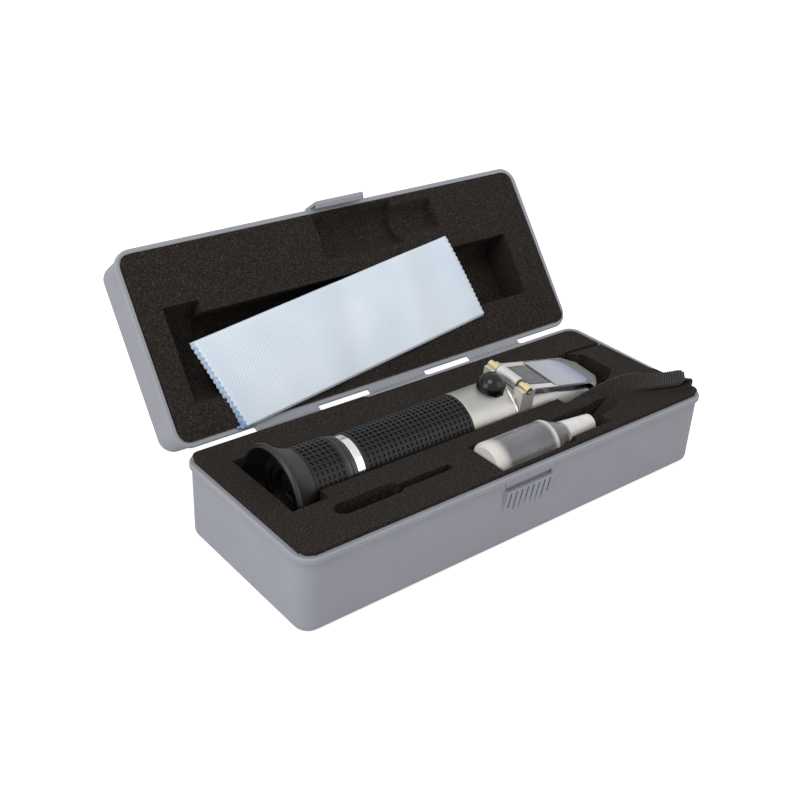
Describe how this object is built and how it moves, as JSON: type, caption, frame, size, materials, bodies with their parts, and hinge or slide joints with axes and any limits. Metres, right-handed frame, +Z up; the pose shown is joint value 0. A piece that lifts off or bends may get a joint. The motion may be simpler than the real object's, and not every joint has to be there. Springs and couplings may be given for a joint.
{
  "type": "hand-held refractometer in carrying case",
  "caption": "Hand-held prism refractometer with hinged daylight plate and focusing eyepiece, lying in a foam-lined hinged case with dropper bottle, wrist strap and cleaning cloth.",
  "frame": {"origin": "centre of the case's underside", "axes": "+X along the case towards the prism end, +Y towards the lid hinge, +Z up"},
  "size_m": [0.205, 0.1421, 0.0998],
  "materials": {
    "case_plastic": "fine leather grain",
    "foam": "open-cell polyurethane foam",
    "cloth": "microfibre weave, pinked ends",
    "satin_aluminium": "satin",
    "bright_aluminium": "bright turned",
    "black_rubber": "moulded",
    "black_plastic": "moulded",
    "optical_glass": "polished",
    "clear_plastic": "clear moulded acrylic, frosted under the window",
    "steel": "plain",
    "brass": "turned",
    "bottle_plastic": "translucent blow-moulded",
    "cap_plastic": "moulded",
    "webbing": "ribbed narrow webbing"
  },
  "bodies": {
    "case": {"case_base": "case_plastic", "base_foam": "foam"},
    "lid": {"case_lid": "case_plastic", "lid_foam": "foam", "cleaning_cloth": "cloth"},
    "instrument": {"barrel": "satin_aluminium", "trim_ring": "bright_aluminium", "grip_sleeve": "black_rubber", "front_ring": "bright_aluminium", "front_housing": "satin_aluminium", "prism": "optical_glass", "hinge_pin": "steel", "hinge_bushings": "brass", "objective_holder": "black_plastic", "objective_lens": "optical_glass", "objective_retainer": "black_plastic", "reticle_holder": "black_plastic", "reticle_disc": "optical_glass", "bimetal_strip": "steel", "strap_lug": "steel", "wrist_strap": "webbing"},
    "focus_ring_body": {"focus_ring": "black_rubber", "eyecup": "black_rubber"},
    "eyepiece_body": {"lens_cell": "black_plastic", "eyepiece_lens": "optical_glass", "lens_retainer": "black_plastic"},
    "daylight_plate_body": {"daylight_plate": "clear_plastic"},
    "screw_body": {"calibration_screw": "steel"},
    "screw_cap_body": {"screw_cap": "black_rubber"},
    "bottle": {"bottle_body": "bottle_plastic", "bottle_nozzle": "bottle_plastic"},
    "bottle_cap_body": {"bottle_cap": "cap_plastic"}
  },
  "joints": [
    {"name": "lid_hinge", "type": "hinge", "parent": "case", "child": "lid", "pos_m": [0, 0.0404, 0.03185], "axis": [-1, 0, 0], "range_deg": [-127.4, 50], "deforming": ["cleaning_cloth", "wrist_strap"]},
    {"name": "refractometer_lift", "type": "slide", "parent": "case", "child": "instrument", "axis": [0, 0, 1], "range_m": [0, 0.07]},
    {"name": "plate_hinge", "type": "hinge", "parent": "instrument", "child": "daylight_plate_body", "pos_m": [0.0276, 0.00344, 0.04282], "axis": [0, -0.9945, -0.1045], "range_deg": [0, 110]},
    {"name": "focus_turn", "type": "hinge", "parent": "instrument", "child": "focus_ring_body", "pos_m": [-0.066, 0.005, 0.028], "axis": [1, 0, 0], "range_deg": [-75, 75]},
    {"name": "focus_travel", "type": "slide", "parent": "instrument", "child": "eyepiece_body", "axis": [1, 0, 0], "range_m": [-0.0015, 0.0015]},
    {"name": "screw_cap_pull", "type": "slide", "parent": "instrument", "child": "screw_cap_body", "axis": [0, -0.1045, 0.9945], "range_m": [0, 0.012]},
    {"name": "calibration_turn", "type": "hinge", "parent": "instrument", "child": "screw_body", "pos_m": [0.0175, 0.00354, 0.04192], "axis": [0, -0.1045, 0.9945], "range_deg": [-180, 180]},
    {"name": "bottle_lift", "type": "slide", "parent": "case", "child": "bottle", "axis": [0, 0, 1], "range_m": [0, 0.05]},
    {"name": "bottle_cap_turn", "type": "hinge", "parent": "bottle", "child": "bottle_cap_body", "pos_m": [0.04, -0.0255, 0.0298], "axis": [1, 0, 0], "range_deg": [0, 270]}
  ],
  "couplings": [
    {"joint": "focus_travel", "follows": "focus_turn", "m_per_rad": 0.0011459}
  ]
}
